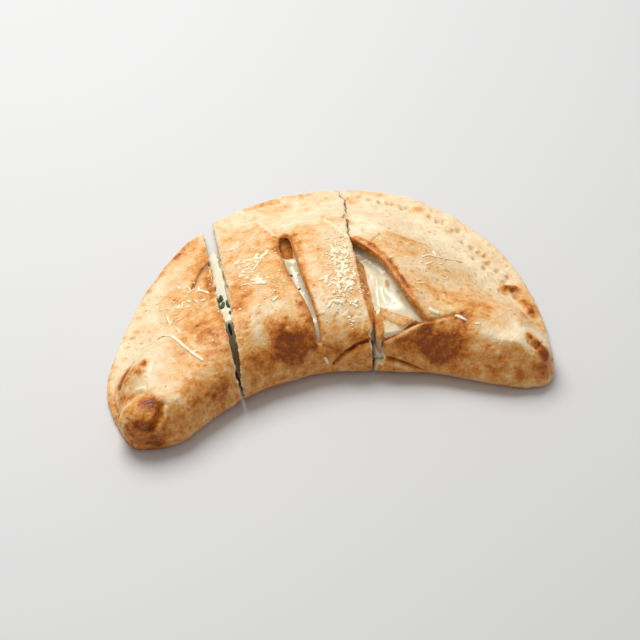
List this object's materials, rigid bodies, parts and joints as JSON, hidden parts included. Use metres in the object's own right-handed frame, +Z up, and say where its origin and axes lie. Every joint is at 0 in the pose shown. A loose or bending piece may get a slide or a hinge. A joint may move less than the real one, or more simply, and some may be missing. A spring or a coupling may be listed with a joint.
{
  "type": "calzone",
  "caption": "Baked half-moon calzone with a rolled fold, a sealed rim, slits in its crust and melted cheese showing where it is cut across.",
  "frame": {"origin": "on the flat base, under the middle of the bounding box", "axes": "+X from the left tip to the right tip, +Y from the rolled fold to the crimped rim, +Z up from the flat base"},
  "size_m": [0.2316, 0.1801, 0.0368],
  "materials": {
    "baked_crust": "baked bread crust, matte, pale to golden brown with darker blisters",
    "melted_cheese": "soft melted white cheese with a moist gloss"
  },
  "bodies": {
    "root": {"crust_left": "baked_crust", "crust_middle": "baked_crust", "crust_right": "baked_crust", "filling_left": "melted_cheese", "filling_middle": "melted_cheese", "filling_right": "melted_cheese"}
  },
  "joints": []
}
